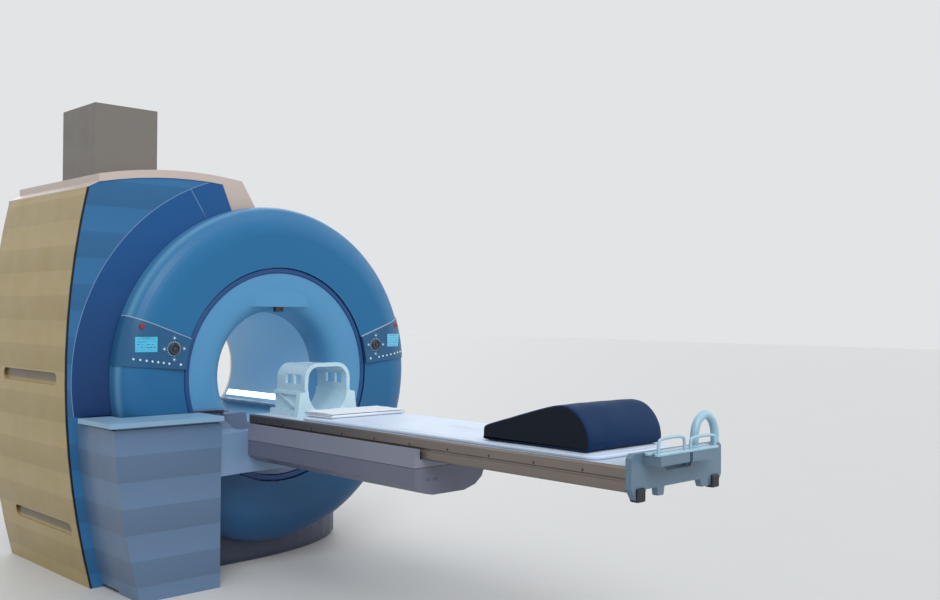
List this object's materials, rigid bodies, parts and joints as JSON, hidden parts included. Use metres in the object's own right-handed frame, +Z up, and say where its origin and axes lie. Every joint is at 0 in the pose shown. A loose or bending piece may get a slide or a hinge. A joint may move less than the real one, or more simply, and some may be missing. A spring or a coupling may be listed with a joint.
{
  "type": "mri scanner",
  "caption": "Wide-bore magnetic resonance scanner with a round blue front cover, a service block on its left and a cantilevered patient table that lifts and slides into the bore.",
  "frame": {"origin": "on the floor, straight under the isocentre of the bore", "axes": "+Z up, +Y along the bore from the table side into the bore, +X to the right seen from the table side"},
  "size_m": [2.1072, 3.9903, 2.487],
  "materials": {
    "magnet_vessel": "satin painted steel vacuum vessel",
    "helium_vessel": "brushed stainless steel vessel",
    "main_coils": "copper-coloured wound coils on an aluminium former",
    "gradient_coil": "cast amber-brown resin",
    "body_coil": "glass-fibre tube with copper strips",
    "bore_tube": "smooth white glass-fibre tube",
    "bore_rails": "smooth white plastic rail",
    "bore_lights": "translucent white light strip",
    "front_funnel": "satin pale blue moulded cover",
    "funnel_insert": "satin pale blue-grey moulded cover",
    "front_rim": "satin mid blue trim ring",
    "front_ring": "satin blue moulded ring cover",
    "rear_funnel": "satin off-white moulded cover",
    "rear_ring": "satin off-white moulded cover",
    "drum_fairing": "satin deep blue fairing",
    "shoulder_panel": "satin blue panel with faint horizontal bands",
    "side_panel": "satin cream panel with faint horizontal bands",
    "magnet_cover": "satin off-white rolled cover",
    "top_cover": "satin off-white cover",
    "duct_cover": "matt light grey painted sheet metal",
    "quench_pipe": "brushed stainless steel pipe",
    "rear_panel": "satin off-white panel",
    "plinth": "satin blue-grey plinth",
    "magnet_feet": "dark grey painted steel feet",
    "cold_head": "machined aluminium and steel",
    "laser_window": "black plastic window",
    "console_left": "satin blue keypad moulding",
    "console_right": "satin blue keypad moulding",
    "console_screens": "lit pale cyan display glass",
    "dial_left": "dark soft-touch dial",
    "key_left_up": "white arrow key",
    "key_left_down": "white arrow key",
    "key_left_in": "white arrow key",
    "key_left_out": "white arrow key",
    "stop_left": "dark red button",
    "dial_right": "dark soft-touch dial",
    "key_right_up": "white arrow key",
    "key_right_down": "white arrow key",
    "key_right_in": "white arrow key",
    "key_right_out": "white arrow key",
    "stop_right": "dark red button",
    "lift_cabinet": "satin off-white cabinet with faint horizontal bands",
    "cabinet_lid": "satin white lid",
    "lift_column": "anodised aluminium column and rails",
    "lift_motor": "dark grey painted motor",
    "lift_spindle": "ground steel spindle",
    "lift_carriage": "grey painted steel",
    "lift_arm": "satin pale blue-white moulded cover over a steel arm",
    "table_beam": "satin off-white beam cover",
    "beam_cover": "satin light grey lower cover",
    "side_rails": "warm grey anodised aluminium rail",
    "belt_drive": "dark grey bearing block",
    "belt_pulley": "machined aluminium pulley",
    "table_board": "smooth white glass-fibre board",
    "mattress": "pale blue-white wipe-clean fabric",
    "head_coil_base": "smooth white plastic coil base",
    "head_coil_dome": "smooth pale blue plastic coil top",
    "knee_wedge": "dark navy wipe-clean cover",
    "folded_pad": "soft white folded cloth",
    "foot_bracket": "satin pale turquoise-grey moulding"
  },
  "bodies": {
    "gantry": {"magnet_vessel": "magnet_vessel", "helium_vessel": "helium_vessel", "main_coils": "main_coils", "gradient_coil": "gradient_coil", "body_coil": "body_coil", "bore_tube": "bore_tube", "bore_rails": "bore_rails", "bore_lights": "bore_lights", "front_funnel": "front_funnel", "funnel_insert": "funnel_insert", "front_rim": "front_rim", "front_ring": "front_ring", "rear_funnel": "rear_funnel", "rear_ring": "rear_ring", "drum_fairing": "drum_fairing", "shoulder_panel": "shoulder_panel", "side_panel": "side_panel", "magnet_cover": "magnet_cover", "top_cover": "top_cover", "duct_cover": "duct_cover", "quench_pipe": "quench_pipe", "rear_panel": "rear_panel", "plinth": "plinth", "magnet_feet": "magnet_feet", "cold_head": "cold_head", "laser_window": "laser_window", "console_left": "console_left", "console_right": "console_right", "console_screens": "console_screens", "lift_cabinet": "lift_cabinet", "cabinet_lid": "cabinet_lid", "lift_column": "lift_column", "lift_motor": "lift_motor"},
    "table_frame": {"lift_carriage": "lift_carriage", "lift_arm": "lift_arm", "table_beam": "table_beam", "beam_cover": "beam_cover", "side_rails": "side_rails", "belt_drive": "belt_drive", "foot_bracket": "foot_bracket"},
    "patient_board": {"table_board": "table_board", "mattress": "mattress", "head_coil_base": "head_coil_base", "head_coil_dome": "head_coil_dome", "knee_wedge": "knee_wedge", "folded_pad": "folded_pad"},
    "spindle": {"lift_spindle": "lift_spindle"},
    "pulley": {"belt_pulley": "belt_pulley"},
    "dial_left": {"dial_left": "dial_left"},
    "key_left_up": {"key_left_up": "key_left_up"},
    "key_left_down": {"key_left_down": "key_left_down"},
    "key_left_in": {"key_left_in": "key_left_in"},
    "key_left_out": {"key_left_out": "key_left_out"},
    "stop_left": {"stop_left": "stop_left"},
    "dial_right": {"dial_right": "dial_right"},
    "key_right_up": {"key_right_up": "key_right_up"},
    "key_right_down": {"key_right_down": "key_right_down"},
    "key_right_in": {"key_right_in": "key_right_in"},
    "key_right_out": {"key_right_out": "key_right_out"},
    "stop_right": {"stop_right": "stop_right"}
  },
  "joints": [
    {"name": "table_lift", "type": "slide", "parent": "gantry", "child": "table_frame", "axis": [0, 0, 1], "range_m": [-0.35, 0]},
    {"name": "table_slide", "type": "slide", "parent": "table_frame", "child": "patient_board", "axis": [0, 1, 0], "range_m": [0, 1.6]},
    {"name": "spindle_turn", "type": "hinge", "parent": "gantry", "child": "spindle", "pos_m": [-0.88, -0.714, 0.4], "axis": [0, 0, 1], "range_deg": [-12700, 100]},
    {"name": "pulley_turn", "type": "hinge", "parent": "table_frame", "child": "pulley", "pos_m": [0.168, -0.792, 0.804], "axis": [1, 0, 0], "range_deg": [-100, 4700]},
    {"name": "dial_left_turn", "type": "hinge", "parent": "gantry", "child": "dial_left", "pos_m": [-0.668, -0.604, 1.216], "axis": [0, -1, 0], "continuous": true},
    {"name": "key_left_up_press", "type": "slide", "parent": "gantry", "child": "key_left_up", "axis": [0, 1, 0], "range_m": [0, 0.002], "stiffness_N_per_m": 800, "springref_m": -0.0005},
    {"name": "key_left_down_press", "type": "slide", "parent": "gantry", "child": "key_left_down", "axis": [0, 1, 0], "range_m": [0, 0.002], "stiffness_N_per_m": 800, "springref_m": -0.0005},
    {"name": "key_left_in_press", "type": "slide", "parent": "gantry", "child": "key_left_in", "axis": [0, 1, 0], "range_m": [0, 0.002], "stiffness_N_per_m": 800, "springref_m": -0.0005},
    {"name": "key_left_out_press", "type": "slide", "parent": "gantry", "child": "key_left_out", "axis": [0, 1, 0], "range_m": [0, 0.002], "stiffness_N_per_m": 800, "springref_m": -0.0005},
    {"name": "stop_left_press", "type": "slide", "parent": "gantry", "child": "stop_left", "axis": [0, 1, 0], "range_m": [0, 0.004], "stiffness_N_per_m": 900, "springref_m": -0.001},
    {"name": "dial_right_turn", "type": "hinge", "parent": "gantry", "child": "dial_right", "pos_m": [0.668, -0.604, 1.216], "axis": [0, -1, 0], "continuous": true},
    {"name": "key_right_up_press", "type": "slide", "parent": "gantry", "child": "key_right_up", "axis": [0, 1, 0], "range_m": [0, 0.002], "stiffness_N_per_m": 800, "springref_m": -0.0005},
    {"name": "key_right_down_press", "type": "slide", "parent": "gantry", "child": "key_right_down", "axis": [0, 1, 0], "range_m": [0, 0.002], "stiffness_N_per_m": 800, "springref_m": -0.0005},
    {"name": "key_right_in_press", "type": "slide", "parent": "gantry", "child": "key_right_in", "axis": [0, 1, 0], "range_m": [0, 0.002], "stiffness_N_per_m": 800, "springref_m": -0.0005},
    {"name": "key_right_out_press", "type": "slide", "parent": "gantry", "child": "key_right_out", "axis": [0, 1, 0], "range_m": [0, 0.002], "stiffness_N_per_m": 800, "springref_m": -0.0005},
    {"name": "stop_right_press", "type": "slide", "parent": "gantry", "child": "stop_right", "axis": [0, 1, 0], "range_m": [0, 0.004], "stiffness_N_per_m": 900, "springref_m": -0.001}
  ],
  "couplings": [
    {"joint": "spindle_turn", "follows": "table_lift", "rad_per_m": 628.32},
    {"joint": "pulley_turn", "follows": "table_slide", "rad_per_m": 50}
  ]
}
